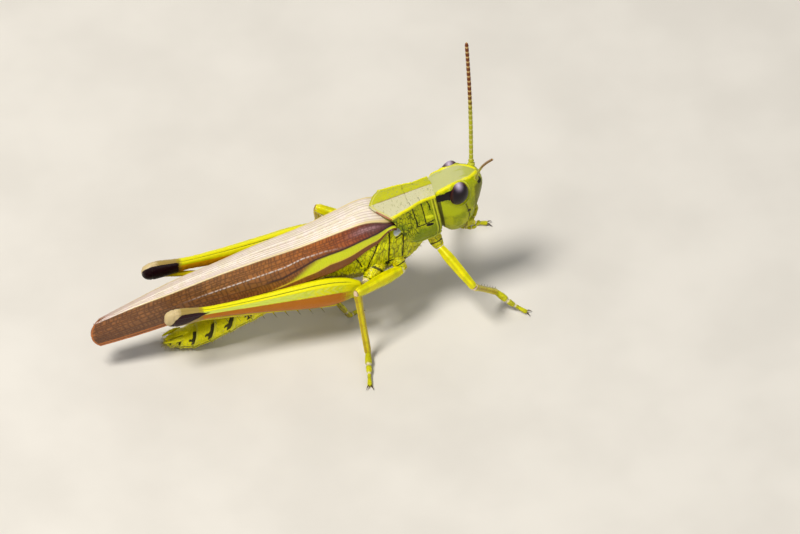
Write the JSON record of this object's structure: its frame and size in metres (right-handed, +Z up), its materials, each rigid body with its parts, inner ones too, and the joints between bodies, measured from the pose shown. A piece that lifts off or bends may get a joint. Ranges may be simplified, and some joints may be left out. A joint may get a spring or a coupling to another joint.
{
  "type": "large marsh grasshopper, male",
  "caption": "Male large marsh grasshopper standing at rest with folded wings and folded jumping legs, a still life-size model.",
  "frame": {"origin": "middle of the insect's bounding box on the floor that its feet and the end of its abdomen rest on", "axes": "+Z up from the floor, +X towards the head, +Y towards the insect's left side"},
  "size_m": [0.031, 0.0166, 0.0202],
  "materials": {
    "cuticle_green": "semi-gloss insect cuticle, green-yellow with black seams",
    "leg_yellow": "semi-gloss yellow cuticle with dark joints",
    "wing_brown": "satin leathery fore wing, veined",
    "eye_dark": "glossy dark eye",
    "feeler_brown": "ringed satin feeler"
  },
  "bodies": {
    "root": {"head": "cuticle_green", "mouthparts": "leg_yellow", "pronotum": "cuticle_green", "thorax": "cuticle_green", "abdomen": "cuticle_green", "eye_left": "eye_dark", "eye_right": "eye_dark", "antenna_left": "feeler_brown", "antenna_right": "feeler_brown", "tegmen_left": "wing_brown", "tegmen_right": "wing_brown", "leg_front_left_coxa": "leg_yellow", "leg_front_left_femur": "leg_yellow", "leg_front_left_tibia": "leg_yellow", "leg_front_left_tarsus": "leg_yellow", "leg_front_right_coxa": "leg_yellow", "leg_front_right_femur": "leg_yellow", "leg_front_right_tibia": "leg_yellow", "leg_front_right_tarsus": "leg_yellow", "leg_middle_left_coxa": "leg_yellow", "leg_middle_left_femur": "leg_yellow", "leg_middle_left_tibia": "leg_yellow", "leg_middle_left_tarsus": "leg_yellow", "leg_middle_right_coxa": "leg_yellow", "leg_middle_right_femur": "leg_yellow", "leg_middle_right_tibia": "leg_yellow", "leg_middle_right_tarsus": "leg_yellow", "leg_hind_left_coxa": "leg_yellow", "leg_hind_left_femur": "leg_yellow", "leg_hind_left_tibia": "leg_yellow", "leg_hind_left_tarsus": "leg_yellow", "leg_hind_right_coxa": "leg_yellow", "leg_hind_right_femur": "leg_yellow", "leg_hind_right_tibia": "leg_yellow", "leg_hind_right_tarsus": "leg_yellow"}
  },
  "joints": []
}
